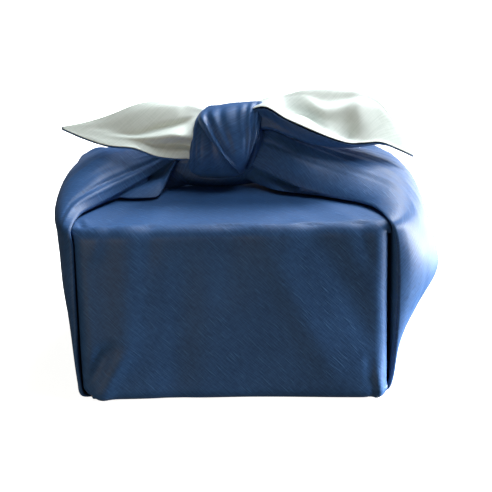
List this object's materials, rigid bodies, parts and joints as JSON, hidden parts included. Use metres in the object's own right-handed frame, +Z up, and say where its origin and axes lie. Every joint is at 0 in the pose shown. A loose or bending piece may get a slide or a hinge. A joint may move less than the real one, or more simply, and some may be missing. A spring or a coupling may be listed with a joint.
{
  "type": "furoshiki wrap on a gift box",
  "caption": "Square double cloth folded round a plain gift box and knotted on top, with free tails that show a pale lining.",
  "frame": {"origin": "middle of the bundle's flat underside, under the middle of the box", "axes": "+Z up, -Y towards the front face, +X towards the larger, fuller tail and flap"},
  "size_m": [0.2784, 0.2, 0.2045],
  "materials": {
    "blue_cloth": "slubbed silk taffeta with a soft sheen",
    "pale_lining": "pale mint slubbed silk, soft sheen",
    "card_box": "matt rigid card, made of wood pulp"
  },
  "bodies": {
    "root": {"wrap_cloth": "blue_cloth", "lining_right_tail": "pale_lining", "lining_left_tail": "pale_lining", "gift_box": "card_box"}
  },
  "joints": []
}
